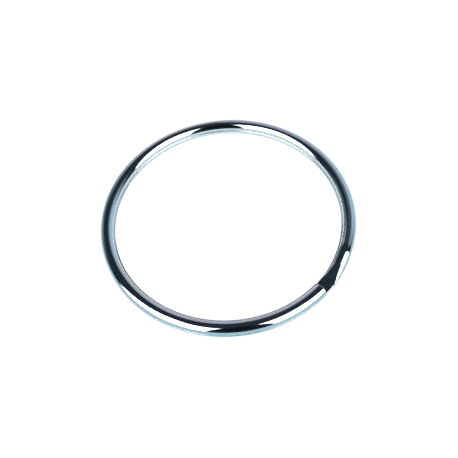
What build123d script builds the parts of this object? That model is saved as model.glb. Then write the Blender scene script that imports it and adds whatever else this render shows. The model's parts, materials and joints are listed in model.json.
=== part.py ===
from build123d import *
import os
from math import cos, radians, sin

# Split key ring: one spring-steel wire wound for two turns that lie flat on each other.
# Millimetres and degrees. The origin is on the ring's axis, in the plane it rests on, +Z up.
# Angles run counter-clockwise from +X, seen from above.
# The wire is cut into short sections, so that the turns can bend open from their free ends.

# Driving dimensions of the wire and the ring
outer_diameter = 76.2
wire_width = 4.0
wire_height = 2.2
side_wall = 0.15
crown_flat = 0.3
edge_radius = 0.25
turn_gap = 0.04
end_bevel = 0.18

# Where the wire steps from the upper turn to the lower one, and where it is cut off
step_start = -25.0
step_span = 20.0
upper_end_gap = 5.0
lower_end_gap = 6.0
step_bend_share = 0.22
turnover_share = 0.5

# How each turn is divided, counted from its free end
bend_spacing = 30.0
bend_count = 5
arc_count = 6

# Derived places
centre_radius = (outer_diameter - wire_width) / 2
level_rise = wire_height + turn_gap
step_end = step_start - step_span
upper_cut = step_end - upper_end_gap + 360
lower_cut = step_start + lower_end_gap
dome_height = wire_height - side_wall - edge_radius

# Corner radii of the wire's section, across and up: the domed face and the flat face
domed = ((wire_width - crown_flat) / 2, dome_height)
flat = (edge_radius, edge_radius)


def blend(start, end, share):
    """Corner radii part of the way from one pair to another."""
    return tuple(a + (b - a) * share for a, b in zip(start, end))


def wire_section(angle, base, top, bottom):
    """The wire's section in the upright plane at an angle, standing on a height."""
    half = wire_width / 2
    side = []
    for hand, turn in ((1, 1), (-1, -1)):
        low = (hand * (half - bottom[0]), bottom[1])
        high = (hand * (half - top[0]), wire_height - top[1])
        start_low = 270
        start_high = 0 if hand > 0 else 180
        side.append(EllipticalCenterArc(low, *bottom, start_low, arc_size=90 * turn))
        side.append(Line((hand * half, low[1]), (hand * half, high[1])))
        side.append(EllipticalCenterArc(high, *top, start_high, arc_size=90 * turn))
    floor = Line((bottom[0] - half, 0), (half - bottom[0], 0))
    crown = Line((half - top[0], wire_height), (top[0] - half, wire_height))
    outward = Vector(cos(radians(angle)), sin(radians(angle)), 0)
    plane = Plane(
        origin=outward * centre_radius + Vector(0, 0, base),
        x_dir=outward,
        z_dir=outward.cross(Vector(0, 0, 1)),
    )
    return plane * make_face([floor, *side[:3], crown, *side[3:]])


def turn_section(angle, upper):
    """The section of one turn: its dome faces away from the other turn."""
    if upper:
        return wire_section(angle, level_rise, domed, flat)
    return wire_section(angle, 0, flat, domed)


def arc_section(start, span, upper):
    """A stretch of one turn, counter-clockwise from an angle."""
    return revolve(turn_section(start, upper), Axis.Z, span)


def bevel_cut_end(section, angle, upper):
    """Take the sharp edge off the wire where it is cut at an angle."""
    middle = (level_rise if upper else 0) + wire_height / 2
    cut_centre = Vector(cos(radians(angle)), sin(radians(angle)), 0) * centre_radius + Vector(0, 0, middle)
    cut_face = section.faces().sort_by_distance(cut_centre)[0]
    return chamfer(cut_face.edges(), end_bevel)


def drop(share):
    """Height lost down the step, 0 to 1: a straight ramp with a short bend at each end."""
    bend = step_bend_share
    steepest = 1 / (1 - bend)
    if share < bend:
        return steepest * share**2 / (2 * bend)
    if share > 1 - bend:
        return 1 - steepest * (1 - share) ** 2 / (2 * bend)
    return steepest * (share - bend / 2)


def turned_over(share):
    """How far the section has gone from dome up to dome down, for a share of the step."""
    return max(0.0, (share - turnover_share) / (1 - turnover_share))


def step_over():
    """The stretch that goes from the upper turn down to the lower one."""
    sections = []
    bend = step_bend_share
    between = (turnover_share + bend) / 2, (turnover_share + 1 - bend) / 2
    stations = (0, bend / 2, bend, between[0], turnover_share, between[1], 1 - bend, 1 - bend / 2, 1)
    for share in stations:
        angle = step_start - step_span * share
        base = level_rise * (1 - drop(share))
        over = turned_over(share)
        sections.append(wire_section(angle, base, blend(domed, flat, over), blend(flat, domed, over)))
    return loft(sections)


def wound_turn(name, cut, direction, span, upper):
    """Sections of one turn from its cut end, in the direction given: the springy ones, then the rest."""
    sections = {}
    lengths = [bend_spacing] * bend_count
    lengths += [(span - bend_spacing * bend_count) / arc_count] * arc_count
    names = ["free_end"] + [f"spring_{n}" for n in range(1, bend_count)]
    names += [f"arc_{n}" for n in range(1, arc_count + 1)]
    near = cut
    for node, length in zip(names, lengths):
        start = near if direction > 0 else near - length
        sections[f"{name}_{node}"] = arc_section(start, length, upper)
        near += direction * length
    free_end = f"{name}_free_end"
    sections[free_end] = bevel_cut_end(sections[free_end], cut, upper)
    return sections


upper_span = upper_cut - step_start
lower_span = step_end + 360 - lower_cut

nodes = {
    **wound_turn("upper", upper_cut, -1, upper_span, True),
    "step_over": step_over(),
    **wound_turn("lower", lower_cut, 1, lower_span, False),
}

os.makedirs("parts", exist_ok=True)
for node, solid in nodes.items():
    export_step(solid, f"parts/{node}.step")
    print(f"{node:16} {solid.volume:8.2f} mm3  {len(solid.solids())} solid")
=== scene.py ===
# %% [markdown]
# A split key ring is one length of spring wire, pressed half round and wound for two turns that
# close flat on each other. The wire starts at a cut end on top, runs once round as the upper turn,
# steps down, and runs once more round as the lower turn to its other cut end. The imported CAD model
# is the frame: it says where every section and every bend is, and nothing here moves it. This file
# builds the plated wire that is seen, as one swept surface cut half way between the bends.

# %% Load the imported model
import json
import math

import bpy
import numpy as np
from mathutils import Matrix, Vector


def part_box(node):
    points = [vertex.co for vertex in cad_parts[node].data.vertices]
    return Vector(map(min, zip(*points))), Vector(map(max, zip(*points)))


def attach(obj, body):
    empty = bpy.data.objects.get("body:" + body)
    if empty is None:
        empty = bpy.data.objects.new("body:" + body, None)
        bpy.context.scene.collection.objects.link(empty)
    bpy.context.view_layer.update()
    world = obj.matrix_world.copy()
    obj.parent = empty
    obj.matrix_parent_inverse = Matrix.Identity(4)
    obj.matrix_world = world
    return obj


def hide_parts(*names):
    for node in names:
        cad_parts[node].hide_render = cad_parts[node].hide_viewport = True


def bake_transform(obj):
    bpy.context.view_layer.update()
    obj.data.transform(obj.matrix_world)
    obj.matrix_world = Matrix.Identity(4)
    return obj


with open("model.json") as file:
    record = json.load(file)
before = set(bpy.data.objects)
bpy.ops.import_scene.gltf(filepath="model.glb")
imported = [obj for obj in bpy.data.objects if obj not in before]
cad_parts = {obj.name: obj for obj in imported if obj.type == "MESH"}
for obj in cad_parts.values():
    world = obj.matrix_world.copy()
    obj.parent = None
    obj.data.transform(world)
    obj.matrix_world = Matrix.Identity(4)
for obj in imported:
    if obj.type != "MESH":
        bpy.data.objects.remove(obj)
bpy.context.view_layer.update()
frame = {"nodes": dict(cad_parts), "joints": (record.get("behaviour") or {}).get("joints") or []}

# %% [markdown]
# The wire's overall sizes come from the frame, so that the surface fits the model that moves. The
# wire's width is how far one section reaches from the ring's axis, less how near it comes. The cut
# ends lie one bend spacing before the first bend, and the step is the stretch that the node
# step_over covers. Measuring beats typing the numbers a second time, because it can't drift. Only
# the outline's small radii and flats and the shape of the step's bends are typed again, further
# down. They have to stay what the CAD model uses.


# %% Measure the wire and the ring
def node_points(node):
    """All corner points of a CAD node's mesh, as an array of x, y, z rows in metres."""
    mesh = frame["nodes"][node].data
    flat_list = np.zeros(len(mesh.vertices) * 3, np.float32)
    mesh.vertices.foreach_get("co", flat_list)
    return flat_list.reshape(-1, 3).astype(float)


def hinge_angle(joint):
    """Degrees counter-clockwise from +X at which a bend lies."""
    place = next(j for j in frame["joints"] if j["name"] == joint)["pos_m"]
    return round(math.degrees(math.atan2(place[1], place[0])), 2)


reach = np.hypot(*node_points("upper_arc_1")[:, :2].T)
OUTER_RADIUS = reach.max()
WIRE_WIDTH = reach.max() - reach.min()
CENTRE_RADIUS = OUTER_RADIUS - WIRE_WIDTH / 2
LEVEL_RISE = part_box("upper_arc_1")[0].z
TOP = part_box("upper_arc_1")[1].z
WIRE_HEIGHT = TOP - LEVEL_RISE

BEND_SPACING = round(hinge_angle("upper_bend_1") - hinge_angle("upper_bend_2"), 2) % 360
BENDS = sum(j["name"].startswith("upper_bend") for j in frame["joints"])
UPPER_CUT = (hinge_angle("upper_bend_1") + BEND_SPACING) % 360
LOWER_CUT = hinge_angle("lower_bend_1") - BEND_SPACING

step_points = node_points("step_over")
step_angles = np.degrees(np.arctan2(step_points[:, 1], step_points[:, 0]))
STEP_FROM = round(UPPER_CUT - step_angles.max(), 2)
STEP_TO = round(UPPER_CUT - step_angles.min(), 2)
WIRE_END = UPPER_CUT - LOWER_CUT + 360
print(f"ring {2000 * OUTER_RADIUS:.2f} mm, wire {1000 * WIRE_WIDTH:.2f} x {1000 * WIRE_HEIGHT:.2f} mm")
print(f"cut ends at {UPPER_CUT:.1f} and {LOWER_CUT:.1f} degrees")
print(f"step over {STEP_FROM:.1f} to {STEP_TO:.1f} of {WIRE_END:.1f} degrees along the wire")

# %% [markdown]
# The wire's outline is a low dome on a flat face. A maker rolls round wire through a shaped groove,
# which leaves a soft dome, a narrow straight wall and tight corners at the flat. It is made here as
# four quarter ellipses joined by straight lines. Two tall ones make the dome and two tight ones
# make the flat's corners, and over the step they trade places, as the flat face has to look up at
# the upper turn where it looked down before.

# %% The wire's outline
CROWN_FLAT = 0.0003
EDGE_RADIUS = 0.00025
SIDE_WALL = 0.00015
HALF_WIDTH = WIRE_WIDTH / 2
DOME = np.array([(WIRE_WIDTH - CROWN_FLAT) / 2, WIRE_HEIGHT - SIDE_WALL - EDGE_RADIUS])
FLAT = np.array([EDGE_RADIUS, EDGE_RADIUS])
CORNER_STEPS = 26
FLOOR_SHARES = np.arange(4)[None, :] / 4


def outline(top, bottom):
    """Sections of the wire, one row each, for corner radii given as rows of (across, up).

    A corner is a quarter ellipse: its centre, plus the radius across times the cosine and the
    radius up times the sine of an angle that goes through ninety degrees. The normal there is the
    same cosine and sine, each divided by its own radius, brought to length one. A row goes once
    round from the middle of the floor face. Returns across, up and the normal's two parts.
    """
    low_reach = HALF_WIDTH - bottom[:, :1]
    level = np.zeros_like(low_reach * FLOOR_SHARES)
    parts = [(low_reach * FLOOR_SHARES, level, level, level - 1)]
    quarter = np.linspace(0, math.pi / 2, CORNER_STEPS)
    for radii, side, way in ((bottom, 1, -1), (top, 1, 1), (top, -1, 1), (bottom, -1, -1)):
        across, up = radii[:, :1], radii[:, 1:]
        angle = quarter if side * way > 0 else quarter[::-1]
        cosine, sine = side * np.cos(angle), way * np.sin(angle)
        z_centre = WIRE_HEIGHT - up if way > 0 else up
        nx, nz = cosine / across, sine / up
        size = np.hypot(nx, nz)
        x = side * (HALF_WIDTH - across) + across * cosine
        parts.append((x, z_centre + up * sine, nx / size, nz / size))
    back = low_reach * (FLOOR_SHARES[:, 1:] - 1)
    parts.append((back, level[:, 1:], level[:, 1:], level[:, 1:] - 1))
    return tuple(np.concatenate([part[n] for part in parts], axis=1) for n in range(4))


print("points round the outline:", outline(DOME[None], FLAT[None])[0].shape[1])

# %% [markdown]
# The path is worked out in degrees along the wire from the upper cut. The angle on the ring is the
# cut's angle less that distance, because the wire is wound clockwise seen from above. The height is
# the upper level until the step, then a straight ramp with a short bend at each end, then the
# table. A ring pressed flat on a machine has this short joggle, and not a helix all the way round.

# %% The wire's path
STEP_BEND = 0.22
TURNOVER_SHARE = 0.5
NUDGE = 0.01


def drop(share):
    """Share of the step's fall at a share of its length: two short parabolas and a straight ramp between."""
    steepest = 1 / (1 - STEP_BEND)
    bend_in = steepest * share**2 / (2 * STEP_BEND)
    bend_out = 1 - steepest * (1 - share) ** 2 / (2 * STEP_BEND)
    ramp = steepest * (share - STEP_BEND / 2)
    return np.where(share < STEP_BEND, bend_in, np.where(share > 1 - STEP_BEND, bend_out, ramp))


def step_share(along):
    """How far through the step each distance along the wire is, 0 before it and 1 after it."""
    return np.clip((along - STEP_FROM) / (STEP_TO - STEP_FROM), 0, 1)


def turned_over(along):
    """How far the outline has gone from dome up to dome down: it changes in the step's second half."""
    return np.clip((step_share(along) - TURNOVER_SHARE) / (1 - TURNOVER_SHARE), 0, 1)


def place_outline(along):
    """Points and outline normals of the sections at distances, in degrees, along the wire.

    Point = outward direction times (centre radius + across) + up times (level + height). Also
    returns the direction in which the wire runs there.
    """
    share, over = step_share(along), turned_over(along)[:, None]
    top = DOME + (FLAT - DOME) * over
    bottom = FLAT + (DOME - FLAT) * over
    x, z, nx, nz = outline(top, bottom)
    turned = np.radians(UPPER_CUT - along)[:, None, None]
    out = np.concatenate([np.cos(turned), np.sin(turned), 0 * turned], -1)
    run = np.concatenate([np.sin(turned), -np.cos(turned), 0 * turned], -1)
    up = np.array([0, 0, 1.0])
    level = LEVEL_RISE * (1 - drop(share))[:, None]
    points = out * (CENTRE_RADIUS + x)[..., None] + up * (level + z)[..., None]
    return points, out * nx[..., None] + up * nz[..., None], run


def wire_surface(along, inset, lean):
    """Points and true normals of the wire, drawn in by an inset and leaned along the wire at a cut.

    The outline's normal loses the part that lies along the surface's own slope, found from the
    sections a nudge ahead and behind. A leaned normal is that one times the cosine of the lean
    plus the run of the wire times its sine.
    """
    points, normals, run = place_outline(along)
    slope = place_outline(along + NUDGE)[0] - place_outline(along - NUDGE)[0]
    forward = (slope * run).sum(-1, keepdims=True)
    normals = normals - run * (normals * slope).sum(-1, keepdims=True) / forward
    normals /= np.linalg.norm(normals, axis=-1, keepdims=True)
    points = points - normals * inset[:, None, None]
    lean = lean[:, None, None]
    return points, normals * np.cos(lean) + run * np.sin(lean)


def millimetres_along(along):
    """Distance along the wire's middle line for degrees along it."""
    return 1000 * CENTRE_RADIUS * np.radians(along)


print(f"the wire is {millimetres_along(WIRE_END):.0f} mm long")

# %% [markdown]
# A piece is the wire between two distances, closed with a cap at each end. Two pieces meet face to
# face where the model bends, so their rims share both points and shading. That is why the normals
# come from the formula, and aren't averaged from each piece's own faces. At a real cut the rows
# crowd together round a small rounded edge, as the plating tub rounds every sharp corner.

# %% Rows of a piece
DEGREES_PER_ROW = 0.5
CUT_ROUND = 0.00018
ROUND_TURN = np.linspace(0, math.pi / 2, 8)


def rows_along(start, end, cut_start, cut_end):
    """Distances, insets and leans of a piece's rows.

    Round a cut edge, for a turn from 0 to 90 degrees, the row lies the rounding times (1 - sine)
    short of the cut, and is drawn in by the rounding times (1 - cosine).
    """
    along = np.linspace(start, end, max(2, round((end - start) / DEGREES_PER_ROW)) + 1)
    inset, lean = np.zeros_like(along), np.zeros_like(along)
    short = np.degrees(CUT_ROUND * (1 - np.sin(ROUND_TURN)) / CENTRE_RADIUS)
    drawn = CUT_ROUND * (1 - np.cos(ROUND_TURN))
    if cut_start:
        along = np.concatenate([(start + short)[::-1], along[1:]])
        inset = np.concatenate([drawn[::-1], inset[1:]])
        lean = np.concatenate([-ROUND_TURN[::-1], lean[1:]])
    if cut_end:
        along = np.concatenate([along[:-1], end - short])
        inset = np.concatenate([inset[:-1], drawn])
        lean = np.concatenate([lean[:-1], ROUND_TURN])
    return along, inset, lean


print("rows in a cut end of 15 degrees:", len(rows_along(0, 15, True, False)[0]))

# %% [markdown]
# A cutter shears spring wire: the blade first burnishes a smooth band, then the rest snaps and
# leaves a dull, grainy, slightly hollow face. That relief is a few hundredths of a millimetre, and
# it is real geometry here, worked into the rings of the cap. Where two pieces only meet, the cap
# is flat and is never seen.

# %% Caps
SEAM_RINGS = np.array([0.6])
CUT_RINGS = np.linspace(0.97, 0.05, 22)
HOLLOW = 0.00005
GRAIN_DEPTH = 0.000008
BURNISHED_SHARE = 0.35


def shear_relief(x, z):
    """Depth of the cut face: level on the burnished band, then a shallow hollow with ripples on it.

    Hollow = smooth step across the band's edge times the depth; ripples = the sum of three sine
    waves across and up the face at lengths that don't divide into each other.
    """
    share = np.clip((z / WIRE_HEIGHT - BURNISHED_SHARE) / 0.2, 0, 1)
    snapped = share * share * (3 - 2 * share)
    ripple = np.sin(x * 31000 + 9 * np.sin(z * 7000)) + np.sin(z * 43000 + x * 5000)
    ripple += np.sin((x - z) * 19000)
    return snapped * (HOLLOW + GRAIN_DEPTH * ripple)


def cap(rim, rings, outwards, relief):
    """Rings of points from a rim to its middle, each ring the middle plus a share of the way out.

    A cut face is then pressed in by its relief, and its normals are the cross product of the way
    round a ring and the way inwards from ring to ring. Returns points, normals and the middle.
    """
    middle = rim.mean(0)
    points = middle + (rim - middle)[None] * rings[:, None, None]
    if not relief:
        return points, np.broadcast_to(outwards, points.shape), middle
    across = np.array([middle[0], middle[1], 0]) / np.hypot(middle[0], middle[1])
    x, z = (points - middle) @ across, points[..., 2] - rim[:, 2].min()
    fade = np.clip((1 - rings) / 0.1, 0, 1)[:, None]
    points = points - outwards * (shear_relief(x, z) * fade)[..., None]
    round_ring = np.roll(points, -1, 1) - np.roll(points, 1, 1)
    normals = np.cross(np.gradient(points, axis=0), round_ring)
    normals *= np.sign(normals @ outwards)[..., None]
    return points, normals / np.linalg.norm(normals, axis=-1, keepdims=True), middle - outwards * HOLLOW


def ring_quads(first, second):
    """Four-cornered faces between two rings of point numbers: first, its next, second's next, second."""
    return np.stack([first, np.roll(first, -1, -1), np.roll(second, -1, -1), second], -1)


print("rings on a cut face:", len(CUT_RINGS))

# %% [markdown]
# Now the pieces can be built. The faces are counted as whole arrays: each row of points joins the
# next, the last column joins the first, and each cap's rings join its rim. The UV map holds
# millimetres along and around the wire, so that the marks of drawing can follow its length. Two
# values are kept on every point: how near it is to a sharp edge, and how near to a free end.

# %% How near an edge or an end is
EDGE_REACH = 0.0004
END_REACH_MM = 9.0


def closeness_to_edge(points, along):
    """Falls from 1 at the two sharp edges of the flat face as a bell of the distance to them."""
    across = np.hypot(points[..., 0], points[..., 1]) - CENTRE_RADIUS
    share = step_share(along)[:, None]
    low = LEVEL_RISE * (1 - drop(share))
    height = points[..., 2] - low - WIRE_HEIGHT * turned_over(along)[:, None]
    distance = np.hypot(np.abs(across) - HALF_WIDTH, height)
    return np.exp(-((distance / EDGE_REACH) ** 2))


def closeness_to_end(along):
    """Falls from 1 at either free end, halving every few millimetres."""
    nearest = np.minimum(millimetres_along(along), millimetres_along(WIRE_END - along))
    return 0.5 ** (np.maximum(nearest, 0) / END_REACH_MM)


print("edge mask reaches", 1000 * EDGE_REACH, "mm, end mask halves every", END_REACH_MM, "mm")


# %% The side of a piece
def wall_part(along, inset, lean):
    """The wire's side as arrays: its rows of points, their normals, its faces and its UV corners.

    U is millimetres along the wire, and V the millimetres walked round the outline.
    """
    points, normals = wire_surface(along, inset, lean)
    rows, columns = points.shape[:2]
    numbers = np.arange(rows * columns).reshape(rows, columns)
    walls = ring_quads(numbers[:-1], numbers[1:]).reshape(-1, 4)
    closed = np.concatenate([points, points[:, :1]], 1)
    lengths = np.linalg.norm(np.diff(closed, axis=1), axis=-1)
    around = np.concatenate([np.zeros((rows, 1)), lengths.cumsum(1)], 1)
    u = np.broadcast_to(millimetres_along(along)[:, None], around.shape)
    uv = np.stack([u, 1000 * around], -1)
    corners = np.stack([uv[:-1, :-1], uv[:-1, 1:], uv[1:, 1:], uv[1:, :-1]], -2).reshape(-1, 2)
    return points, normals, numbers, walls, corners


# %% The ends of a piece
def cap_part(rim, rim_numbers, along, way, is_cut, first):
    """One end's rings as arrays, numbered from first: points, normals, quads, triangles, and outwards.

    Quads join the rim to each ring in turn, and triangles join the last ring to the middle point.
    """
    turned = math.radians(UPPER_CUT - along)
    outwards = way * np.array([math.sin(turned), -math.cos(turned), 0])
    rings = CUT_RINGS if is_cut else SEAM_RINGS
    points, normals, middle = cap(rim, rings, outwards, is_cut)
    columns = len(rim)
    ring_numbers = first + np.arange(len(rings) * columns).reshape(len(rings), columns)
    levels = np.concatenate([rim_numbers[None], ring_numbers])
    near, far = (levels[:-1], levels[1:]) if way > 0 else (levels[1:], levels[:-1])
    last = levels[-1][::way]
    centre = np.full(columns, first + len(rings) * columns)
    triangles = np.stack([last, np.roll(last, -1), centre], -1)
    points = np.concatenate([points.reshape(-1, 3), middle[None]])
    normals = np.concatenate([normals.reshape(-1, 3), outwards[None]])
    return points, normals, ring_quads(near, far).reshape(-1, 4), triangles, outwards


# %% A closed length of wire
def finish_mesh(mesh, uv, masks, cut_faces, corner_normals):
    """Puts the UV map, the point masks, the finish of each face and the shading normals on a mesh."""
    layer = mesh.uv_layers.new(name="wire_mm")
    layer.data.foreach_set("uv", uv.astype(np.float32).ravel())
    for label, values in masks.items():
        attribute = mesh.attributes.new(label, "FLOAT", "POINT")
        attribute.data.foreach_set("value", values.astype(np.float32))
    mesh.polygons.foreach_set("material_index", cut_faces.astype(np.int32))
    mesh.normals_split_custom_set(corner_normals)


def wire_piece(name, start, end, cut_start=False, cut_end=False):
    """A closed piece of the wire from one distance to another, with rounded rims at real cuts.

    The faces are the walls, then each end's quads, then each end's triangles.
    """
    along, inset, lean = rows_along(start, end, cut_start, cut_end)
    rows, normals, numbers, walls, wall_uv = wall_part(along, inset, lean)
    points, shading = rows.reshape(-1, 3), normals.reshape(-1, 3)
    quads, triangles, is_cut = [walls], [], [np.zeros(len(walls))]
    quad_normals, triangle_normals = [shading[walls.ravel()]], []
    for row, cut, way in ((0, cut_start, -1), (-1, cut_end, 1)):
        part = cap_part(rows[row], numbers[row], along[row], way, cut, len(points))
        cap_points, cap_normals, cap_quads, cap_triangles, outwards = part
        flat_rim = np.broadcast_to(outwards, points.shape)
        shades = np.concatenate([flat_rim, cap_normals])
        points = np.concatenate([points, cap_points])
        quads.append(cap_quads)
        triangles.append(cap_triangles)
        is_cut.append(np.full(len(cap_quads), cut))
        quad_normals.append(shades[cap_quads.ravel()])
        triangle_normals.append(shades[cap_triangles.ravel()])
    is_cut += [np.full(len(group), cut) for group, cut in zip(triangles, (cut_start, cut_end))]
    cap_corners = np.concatenate([group.ravel() for group in quads[1:] + triangles])
    across = np.hypot(*points[cap_corners, :2].T) - CENTRE_RADIUS
    cap_uv = 1000 * np.stack([across, points[cap_corners, 2]], -1)
    caps = len(points) - numbers.size
    masks = {
        "near_edge": np.concatenate([closeness_to_edge(rows, along).ravel(), np.zeros(caps)]),
        "near_end": np.concatenate([np.repeat(closeness_to_end(along), rows.shape[1]), np.ones(caps)]),
    }
    faces = [face for group in quads + triangles for face in group.tolist()]
    mesh = bpy.data.meshes.new(name)
    mesh.from_pydata(points, [], faces)
    mesh.shade_smooth()
    uv, corner_normals = np.concatenate([wall_uv, cap_uv]), np.concatenate(quad_normals + triangle_normals)
    finish_mesh(mesh, uv, masks, np.concatenate(is_cut), corner_normals)
    thing = bpy.data.objects.new(name, mesh)
    bpy.context.scene.collection.objects.link(thing)
    print(f"{name}: {start:g} to {end:g} degrees, {len(points)} points, {len(faces)} faces")
    return thing


# %% [markdown]
# The upper turn springs open from its free end, and so does the lower one. In the model each is a
# chain of short lengths with a bend between them, and a real wire has no corner at a bend. So the
# visible wire is cut half way between the bends, and each piece that holds a bend is one smooth
# length built at rest, tied to neither of the lengths beside it. The outermost half length rides
# stiffly, and so does everything past the bends.

# %% Cut the wire into pieces round the bends
HALF_SPACING = BEND_SPACING / 2
HOLD = 1.0


def middle_line(along):
    """The point on the wire's middle line at a distance along it."""
    points = place_outline(np.array([float(along)]))[0][0]
    return tuple(points.mean(0))


def springy_turn(turn, place):
    """One turn's free end and bends. Place turns degrees from the free end into degrees along the wire."""
    bodies = [f"{turn}_free_end"] + [f"{turn}_spring_{n}" for n in range(1, BENDS)] + ["ring_body"]
    pieces = []
    start, end = sorted((place(0), place(HALF_SPACING)))
    tip = wire_piece(f"{turn}_turn_tip", start, end, cut_start=turn == "upper", cut_end=turn == "lower")
    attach(tip, bodies[0])
    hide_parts(bodies[0])
    pieces.append(tip)
    for n in range(BENDS):
        bend = BEND_SPACING * (n + 1)
        start, end = sorted((place(bend - HALF_SPACING), place(bend + HALF_SPACING)))
        piece = wire_piece(f"{turn}_turn_bend_{n + 1}", start, end)
        held = [middle_line(place(bend + way * (HALF_SPACING - HOLD))) for way in (-1, 1)]
        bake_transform(piece)
        if n + 1 < BENDS:
            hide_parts(bodies[n + 1])
        pieces.append(piece)
    return pieces


def fixed_wire():
    """The wire between the last bends: the rest of the upper turn, the step, the rest of the lower turn."""
    stiff_from = BEND_SPACING * BENDS + HALF_SPACING
    cuts = (stiff_from, STEP_FROM, STEP_TO, WIRE_END - stiff_from)
    nodes = [n for n in frame["nodes"] if "_arc_" in n]
    pieces = []
    for name, start, end in zip(("upper_turn_coil", "step_over_wire", "lower_turn_coil"), cuts, cuts[1:]):
        piece = wire_piece(name, start, end)
        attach(piece, "ring_body")
        stands_for = ["step_over"] if name.startswith("step") else [n for n in nodes if n[:5] == name[:5]]
        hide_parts(*stands_for)
        pieces.append(piece)
    return pieces


wire_pieces = springy_turn("upper", lambda away: away)
wire_pieces += springy_turn("lower", lambda away: WIRE_END - away)
wire_pieces += fixed_wire()
print(len(wire_pieces), "pieces of wire")

# %% [markdown]
# Shader trees are easier to read when each node is made by one short call. This helper adds a
# node, sets its options and fills its inputs: a plain value is set, and a socket is linked.


# %% Helpers for shader trees
def node(tree, kind, inputs=None, **options):
    """Adds a node of a kind, sets its options, and sets or links each of its inputs."""
    made = tree.nodes.new("ShaderNode" + kind)
    for option, value in options.items():
        setattr(made, option, value)
    for key, value in (inputs or {}).items():
        if isinstance(value, bpy.types.NodeSocket):
            tree.links.new(value, made.inputs[key])
        else:
            made.inputs[key].default_value = value
    return made


def maths(tree, operation, *values):
    """One Math node: its output for an operation on sockets or numbers."""
    return node(tree, "Math", dict(enumerate(values)), operation=operation).outputs[0]


def ramp(tree, value, low, high, to_low=0.0, to_high=1.0):
    """A smooth step: to_low below low, to_high above high, and an even S between them."""
    places = {"Value": value, "From Min": low, "From Max": high, "To Min": to_low, "To Max": to_high}
    return node(tree, "MapRange", places, interpolation_type="SMOOTHSTEP").outputs[0]


def new_group(name, inputs, outputs):
    """A shader node group with named float, vector or colour sockets, and its two end nodes."""
    tree = bpy.data.node_groups.new(name, "ShaderNodeTree")
    for label, kind, value in inputs:
        socket = tree.interface.new_socket(label, in_out="INPUT", socket_type="NodeSocket" + kind)
        if kind == "Float":
            socket.default_value = value
    for label, kind in outputs:
        tree.interface.new_socket(label, in_out="OUTPUT", socket_type="NodeSocket" + kind)
    return tree, tree.nodes.new("NodeGroupInput").outputs, tree.nodes.new("NodeGroupOutput").inputs


def use_group(tree, group, **inputs):
    """Places a group in a material. Underscores in an input's name stand for spaces."""
    placed = tree.nodes.new("ShaderNodeGroup")
    placed.node_tree = group
    for label, value in inputs.items():
        socket = placed.inputs[label.replace("_", " ")]
        if isinstance(value, bpy.types.NodeSocket):
            tree.links.new(value, socket)
        else:
            socket.default_value = value
    return placed.outputs


# %% [markdown]
# Four things happen to plated wire, and each is a node group used by both finishes. Drawing
# through a die leaves fine lines that run along the wire. Plating over them leaves a faint orange
# peel. Keys that slide on and off burnish the sharp edges and the ends through to a warmer,
# duller tone. Dust and plating grit leave a few pinholes. Noise makes all four: stretched noise
# for the lines, broad noise for the peel, noise times a mask for wear, and cell noise for the pits.


# %% Drawing lines
def drawing_lines():
    """Lines along the wire = noise on coordinates squeezed along it and crowded across it."""
    inputs = (("Place", "Vector", None), ("Lines per mm", "Float", 6.0), ("Length in mm", "Float", 12.0))
    tree, put, out = new_group("drawing_lines", inputs, (("Lines", "Float"),))
    split = node(tree, "SeparateXYZ", {0: put["Place"]}).outputs
    along = maths(tree, "DIVIDE", split["X"], put["Length in mm"])
    across = maths(tree, "MULTIPLY", split["Y"], put["Lines per mm"])
    place = node(tree, "CombineXYZ", {"X": along, "Y": across}).outputs[0]
    noise = node(tree, "TexNoise", {"Vector": place, "Scale": 1.0, "Detail": 3.0, "Roughness": 0.6})
    tree.links.new(noise.outputs["Fac"], out["Lines"])
    return tree


# %% Orange peel
def orange_peel():
    """Waviness of the plate = two sizes of noise in millimetres, the small one at a share of the big one."""
    inputs = (("Place", "Vector", None), ("Size in mm", "Float", 2.5), ("Fine share", "Float", 0.3))
    tree, put, out = new_group("orange_peel", inputs, (("Height", "Float"),))
    scale = maths(tree, "DIVIDE", 1000.0, put["Size in mm"])
    broad = node(tree, "TexNoise", {"Vector": put["Place"], "Scale": scale, "Detail": 1.0})
    fine_scale = maths(tree, "MULTIPLY", scale, 3.1)
    fine = node(tree, "TexNoise", {"Vector": put["Place"], "Scale": fine_scale, "Detail": 2.0})
    part = maths(tree, "MULTIPLY", fine.outputs["Fac"], put["Fine share"])
    tree.links.new(maths(tree, "ADD", broad.outputs["Fac"], part), out["Height"])
    return tree


# %% Rubbed edges and ends
def rubbed_wear():
    """Wear mask = smooth step of (closeness times amount, plus centred noise) from 0.35 to 0.75."""
    inputs = (
        ("Place", "Vector", None), ("Closeness", "Float", 0.0), ("Amount", "Float", 1.0),
        ("Size in mm", "Float", 0.6),
    )
    tree, put, out = new_group("rubbed_wear", inputs, (("Mask", "Float"),))
    scale = maths(tree, "DIVIDE", 1000.0, put["Size in mm"])
    noise = node(tree, "TexNoise", {"Vector": put["Place"], "Scale": scale, "Detail": 4.0, "Roughness": 0.65})
    break_up = maths(tree, "SUBTRACT", noise.outputs["Fac"], 0.5)
    worn = maths(tree, "MULTIPLY_ADD", put["Closeness"], put["Amount"], break_up)
    tree.links.new(ramp(tree, worn, 0.35, 0.75), out["Mask"])
    return tree


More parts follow.
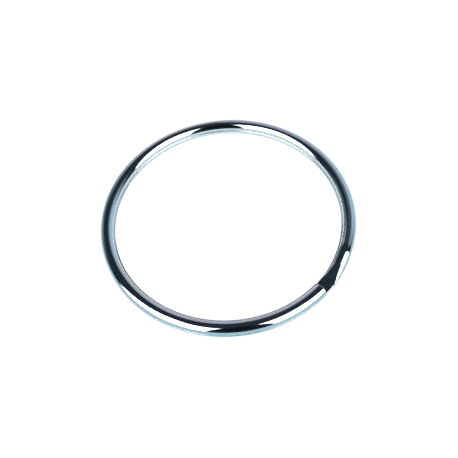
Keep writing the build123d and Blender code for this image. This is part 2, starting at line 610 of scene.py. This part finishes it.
# %% Pinholes
def pinholes():
    """Pits = nearness to scattered cell points, kept only where the cell's own random number is high."""
    inputs = (
        ("Place", "Vector", None), ("Spacing in mm", "Float", 1.2), ("Share pitted", "Float", 0.12),
        ("Radius", "Float", 0.08),
    )
    tree, put, out = new_group("pinholes", inputs, (("Pits", "Float"),))
    scale = maths(tree, "DIVIDE", 1000.0, put["Spacing in mm"])
    cells = node(tree, "TexVoronoi", {"Vector": put["Place"], "Scale": scale})
    number = node(tree, "SeparateColor", {0: cells.outputs["Color"]}).outputs[0]
    chosen = maths(tree, "LESS_THAN", number, put["Share pitted"])
    inside = ramp(tree, cells.outputs["Distance"], put["Radius"], 0.0, 0.0, 1.0)
    tree.links.new(maths(tree, "MULTIPLY", inside, chosen), out["Pits"])
    return tree


LINES, PEEL, WEAR, PITS = drawing_lines(), orange_peel(), rubbed_wear(), pinholes()
print("effects:", [group.name for group in (LINES, PEEL, WEAR, PITS)])

# %% [markdown]
# Bright plate over spring steel is a metal with almost no roughness, and what it shows is the
# room. Its own colour is almost neutral and a touch cool, and tints all it reflects. The groups above
# change the roughness a little along the drawing lines, dull the rubbed places and tint them
# towards bare steel, and tilt the normal by fractions of a degree so that reflections wander.

# %% Bright plate
PLATE_TINT = (0.74, 0.77, 0.80, 1)
STEEL_TINT = (0.50, 0.52, 0.54, 1)
PIT_TINT = (0.10, 0.11, 0.13, 1)
END_WEAR, WORN_TINT = 0.45, 0.7
LINE_ROUGH, WORN_ROUGH, PIT_ROUGH = 0.05, 0.16, 0.3
PIT_DEPTH = 0.02
MILLIMETRE = 0.001


def mixed(tree, factor, first, second):
    """A colour part of the way from the first to the second."""
    made = tree.nodes.new("ShaderNodeMix")
    made.data_type = "RGBA"
    for key, value in ((0, factor), (6, first), (7, second)):
        if isinstance(value, bpy.types.NodeSocket):
            tree.links.new(value, made.inputs[key])
        else:
            made.inputs[key].default_value = value
    return made.outputs[2]


def new_metal(name):
    """An empty metal: its tree, its Principled shader and its output, linked."""
    material = bpy.data.materials.new(name)
    material.use_nodes = True
    tree = material.node_tree
    tree.nodes.clear()
    shader = node(tree, "BsdfPrincipled", {"Metallic": 1.0})
    node(tree, "OutputMaterial", {"Surface": shader.outputs[0]})
    return material, tree, shader.inputs


def plate_finish(name, tint, roughness, line_depth, peel_depth, wear_amount, pit_share):
    """Plated metal: base roughness plus lines, wear and pits, and a bump of all of them together."""
    material, tree, put = new_metal(name)
    place = node(tree, "TexCoord").outputs["Object"]
    wire = node(tree, "UVMap", uv_map="wire_mm").outputs[0]
    edge = node(tree, "Attribute", attribute_name="near_edge").outputs["Fac"]
    end = node(tree, "Attribute", attribute_name="near_end").outputs["Fac"]
    closeness = maths(tree, "MAXIMUM", edge, maths(tree, "MULTIPLY", end, END_WEAR))
    lines = use_group(tree, LINES, Place=wire)["Lines"]
    peel = use_group(tree, PEEL, Place=place)["Height"]
    worn = use_group(tree, WEAR, Place=place, Closeness=closeness, Amount=wear_amount)["Mask"]
    pits = use_group(tree, PITS, Place=place, Share_pitted=pit_share)["Pits"]
    faded = mixed(tree, maths(tree, "MULTIPLY", worn, WORN_TINT), tint, STEEL_TINT)
    tree.links.new(mixed(tree, pits, faded, PIT_TINT), put["Base Color"])
    rough = maths(tree, "MULTIPLY_ADD", lines, LINE_ROUGH, roughness)
    rough = maths(tree, "MULTIPLY_ADD", worn, WORN_ROUGH, rough)
    tree.links.new(maths(tree, "MULTIPLY_ADD", pits, PIT_ROUGH, rough), put["Roughness"])
    height = maths(tree, "MULTIPLY", lines, line_depth)
    height = maths(tree, "MULTIPLY_ADD", peel, peel_depth, height)
    height = maths(tree, "MULTIPLY_ADD", pits, -PIT_DEPTH, height)
    bump = node(tree, "Bump", {"Height": height, "Distance": MILLIMETRE, "Strength": 1.0})
    tree.links.new(bump.outputs[0], put["Normal"])
    return material


BRIGHT_PLATE = plate_finish(
    "drawn_bright_plate", PLATE_TINT, roughness=0.03, line_depth=0.0006, peel_depth=0.004,
    wear_amount=0.8, pit_share=0.08,
)
CUT_PLATE = plate_finish(
    "cut_face_plate", PLATE_TINT, roughness=0.22, line_depth=0.004, peel_depth=0.01,
    wear_amount=0.6, pit_share=0.3,
)
for piece in wire_pieces:
    piece.data.materials.append(BRIGHT_PLATE)
    piece.data.materials.append(CUT_PLATE)
print("finishes:", BRIGHT_PLATE.name, CUT_PLATE.name)

# %% [markdown]
# Bright metal has no look of its own, so the studio is half of the object. Two tall soft boxes
# stand left and right in front, and give the long white highlights. A dark gap between them, where
# the camera stands, gives the black patch at the very front. A pale backdrop hangs behind, with a
# light blue corner on its right and a dim one on its left. All of it is painted on the world by
# direction, as azimuth from the front and elevation. It adds no noise and stays put when the
# camera moves round, but it has no distance, so both sides of the ring see the same room.

# %% The studio
ROOM = (0.014, 0.027, 0.037, 1)
OVERHEAD = (0.022, 0.036, 0.048, 1)
OVERHEAD_FROM, OVERHEAD_FULL = 56.0, 78.0
FRONT_GAP = (0.006, 0.007, 0.012, 1)
BACKDROP = (0.52, 0.46, 0.54, 1)
BLUE_CORNER = (0.44, 0.60, 0.74, 1)
DIM_CORNER = (0.13, 0.20, 0.24, 1)
SOFT_BOX = (4.6, 4.6, 4.6, 1)
WHITE = (1.04, 1.04, 1.04, 1)
FLOOR_DOWN = -90.0
# Each panel: left and right edge, bottom and top edge, how soft its edges are, all in degrees.
GAP_PANEL = (-34.0, 32.0, 22.0, 100.0, 10.0)
BLUE_PANEL = (88.0, 200.0, FLOOR_DOWN, 62.0, 32.0)
DIM_PANEL = (-200.0, -96.0, FLOOR_DOWN, 44.0, 26.0)
BACKDROP_PANEL = (-20.0, 40.0, FLOOR_DOWN, 50.0, 18.0)
LEFT_BOX_PANEL = (-88.0, -20.0, 7.0, 73.0, 4.0)
RIGHT_BOX_PANEL = (22.0, 80.0, 7.0, 73.0, 4.0)


def panel_in_the_room():
    """Mask of a panel = smooth steps up and down across its azimuth, times the same across its elevation."""
    labels = ("Azimuth", "Elevation", "Left", "Right", "Bottom", "Top", "Softness")
    inputs = [(label, "Float", 0.0) for label in labels]
    tree, put, out = new_group("panel_in_the_room", inputs, (("Mask", "Float"),))
    masks = []
    for value, low, high in (("Azimuth", "Left", "Right"), ("Elevation", "Bottom", "Top")):
        masks.append(ramp(tree, put[value], put[low], maths(tree, "ADD", put[low], put["Softness"])))
        masks.append(ramp(tree, put[value], put[high], maths(tree, "SUBTRACT", put[high], put["Softness"])))
    across, up = maths(tree, "MULTIPLY", *masks[:2]), maths(tree, "MULTIPLY", *masks[2:])
    product = maths(tree, "MULTIPLY", across, up)
    tree.links.new(product, out["Mask"])
    return tree


def studio_world():
    """The world's colour by direction: each panel's light is laid over what is behind it, by its mask.

    Azimuth = the angle of (x, -y), elevation = the arc sine of z. Behind = 180 less the azimuth's
    size, so that the backdrop has no seam where the azimuth jumps from 180 to -180.
    """
    world = bpy.data.worlds.new("studio")
    world.use_nodes = True
    tree = world.node_tree
    tree.nodes.clear()
    way = node(tree, "SeparateXYZ", {0: node(tree, "TexCoord").outputs["Generated"]}).outputs
    front = maths(tree, "MULTIPLY", way["Y"], -1.0)
    azimuth = maths(tree, "DEGREES", maths(tree, "ARCTAN2", way["X"], front))
    elevation = maths(tree, "DEGREES", maths(tree, "ARCSINE", way["Z"]))
    behind = maths(tree, "SUBTRACT", 180.0, maths(tree, "ABSOLUTE", azimuth))
    panel = panel_in_the_room()
    colour = mixed(tree, ramp(tree, elevation, OVERHEAD_FROM, OVERHEAD_FULL), ROOM, OVERHEAD)
    layers = (
        (azimuth, GAP_PANEL, FRONT_GAP),
        (azimuth, BLUE_PANEL, BLUE_CORNER),
        (azimuth, DIM_PANEL, DIM_CORNER),
        (behind, BACKDROP_PANEL, BACKDROP),
        (azimuth, LEFT_BOX_PANEL, SOFT_BOX),
        (azimuth, RIGHT_BOX_PANEL, SOFT_BOX),
    )
    for place, (left, right, bottom, top, softness), light in layers:
        mask = use_group(
            tree, panel, Azimuth=place, Elevation=elevation, Left=left, Right=right,
            Bottom=bottom, Top=top, Softness=softness,
        )["Mask"]
        colour = mixed(tree, mask, colour, light)
    seen = mixed(tree, node(tree, "LightPath").outputs["Is Camera Ray"], colour, WHITE)
    background = node(tree, "Background", {"Color": seen})
    node(tree, "OutputWorld", {"Surface": background.outputs[0]})
    return world


bpy.context.scene.world = studio_world()
bpy.context.scene.view_settings.view_transform = "Standard"
print("world:", bpy.context.scene.world.name)

# %% [markdown]
# The ring lies on a plain pale table, and a good part of what the plate reflects is table. A white
# table would turn the flanks white too, and they are light blue. So the camera sees this table as
# almost pure white, and reflections see a matt cool grey. A Light Path node tells the two apart, as a
# studio trick. Inside the ring that grey carries a painted shadow near the ring's front and a painted
# light patch near its back: shade and light painted into the table's colour, not cast by the lights.

# %% The table
TABLE_REACH = 2.0
TABLE_DROP = 0.00002
TABLE_COOL = (0.34, 0.50, 0.55, 1)
# Painted light and painted shadow for the table inside the ring: a pale patch towards the back and a dark
# patch by the wire at the front.
TABLE_PAINTED_LIGHT = (0.52, 0.62, 0.66, 1)
TABLE_PAINTED_SHADOW = (0.02, 0.02, 0.03, 1)
WHITE_TO_CAMERA = 0.98
TOOTH_SCALE = 900.0
TOOTH_DARK = 0.97
INNER_RADIUS = OUTER_RADIUS - WIRE_WIDTH
SHADE_REACH = 0.022
FRONT_LINE, MIDDLE_LINE, BACK_LINE = -0.010, 0.0, 0.010


def table_tone(tree):
    """Cool grey with paper tooth, with painted light and painted shadow laid on by two masks from the
    distance to the axis.

    Inside = smooth step from the outer to the inner radius. Painted light = inside times a step towards
    the back. Painted shadow = inside times a step up to the wire times a step towards the front.
    """
    place = node(tree, "TexCoord").outputs["Object"]
    tooth = node(tree, "TexNoise", {"Vector": place, "Scale": TOOTH_SCALE}).outputs["Fac"]
    cool = mixed(tree, tooth, tuple(TOOTH_DARK * c for c in TABLE_COOL[:3]) + (1,), TABLE_COOL)
    flat_place = node(tree, "VectorMath", {0: place, 1: (1, 1, 0)}, operation="MULTIPLY").outputs[0]
    away = node(tree, "VectorMath", {0: flat_place}, operation="LENGTH").outputs["Value"]
    back = node(tree, "SeparateXYZ", {0: place}).outputs["Y"]
    inside = ramp(tree, away, OUTER_RADIUS, INNER_RADIUS)
    # Painted light: inside the ring the table's colour turns paler towards the back.
    painted_light = maths(tree, "MULTIPLY", inside, ramp(tree, back, FRONT_LINE, BACK_LINE))
    # Painted shadow: inside the ring the table's colour turns dark near the wire towards the front, where the
    # ring's shade would fall.
    near_wire = maths(tree, "MULTIPLY", ramp(tree, away, INNER_RADIUS - SHADE_REACH, INNER_RADIUS), inside)
    painted_shadow = maths(tree, "MULTIPLY", near_wire, ramp(tree, back, MIDDLE_LINE, FRONT_LINE))
    return mixed(tree, painted_shadow, mixed(tree, painted_light, cool, TABLE_PAINTED_LIGHT), TABLE_PAINTED_SHADOW)


def table_surface():
    """Matt paper for reflections and a plain white glow for the camera, mixed by the kind of ray."""
    material = bpy.data.materials.new("matt_white")
    material.use_nodes = True
    tree = material.node_tree
    shader = tree.nodes["Principled BSDF"]
    shader.inputs["Roughness"].default_value = 0.9
    shader.inputs["Specular IOR Level"].default_value = 0.1
    tree.links.new(table_tone(tree), shader.inputs["Base Color"])
    glow = node(tree, "Emission", {"Color": WHITE})
    share = maths(tree, "MULTIPLY", node(tree, "LightPath").outputs["Is Camera Ray"], WHITE_TO_CAMERA)
    both = node(tree, "MixShader", {0: share, 1: shader.outputs[0], 2: glow.outputs[0]})
    tree.links.new(both.outputs[0], tree.nodes["Material Output"].inputs["Surface"])
    material.cycles.emission_sampling = "NONE"
    return material


def table():
    """A flat square just under the ring."""
    corners = np.array([(-1, -1, 0), (1, -1, 0), (1, 1, 0), (-1, 1, 0)]) * TABLE_REACH - (0, 0, TABLE_DROP)
    mesh = bpy.data.meshes.new("table")
    mesh.from_pydata(corners, [], [(0, 1, 2, 3)])
    mesh.materials.append(table_surface())
    thing = bpy.data.objects.new("table", mesh)
    bpy.context.scene.collection.objects.link(thing)
    return thing


print("table:", table().name)

# %% [markdown]
# The camera looks down on the ring from the front at a steep angle, from close by, and is held a
# little tilted. It is given by how high and how far it is, where it aims, how much it is rolled,
# and how large a share of the frame one ring radius fills.

# %% The camera
ELEVATION = 57.77
DISTANCE = 4.0 * CENTRE_RADIUS
RADIUS_SHARE = 0.2659
ROLL = 0.1047
AIM = (0.0040 * CENTRE_RADIUS, -0.1444 * CENTRE_RADIUS, TOP / 2)
SENSOR_MM = 36.0


def add_camera():
    """Camera at the aim plus the distance along the viewing elevation.

    The lens length is the sensor's width times the share of the frame that a ring radius takes,
    times the distance in ring radii.
    """
    high = math.radians(ELEVATION)
    back = np.array([0, -math.cos(high), math.sin(high)])
    right = np.array([1.0, 0, 0])
    above = np.cross(back, right)
    x_axis = math.cos(ROLL) * right - math.sin(ROLL) * above
    y_axis = math.sin(ROLL) * right + math.cos(ROLL) * above
    data = bpy.data.cameras.new("camera")
    data.sensor_width = SENSOR_MM
    data.lens = SENSOR_MM * RADIUS_SHARE * DISTANCE / CENTRE_RADIUS
    data.clip_start = 0.005
    camera = bpy.data.objects.new("camera", data)
    bpy.context.scene.collection.objects.link(camera)
    turned = np.eye(4)
    turned[:3, :3] = np.stack([x_axis, y_axis, back], 1)
    turned[:3, 3] = np.array(AIM) + DISTANCE * back
    camera.matrix_world = Matrix(turned.tolist())
    bpy.context.scene.camera = camera
    return data


print(f"lens {add_camera().lens:.1f} mm")

# %% [markdown]
# The visible ring has to fill the same box as the CAD model.

# %% Update the scene
bpy.context.view_layer.update()
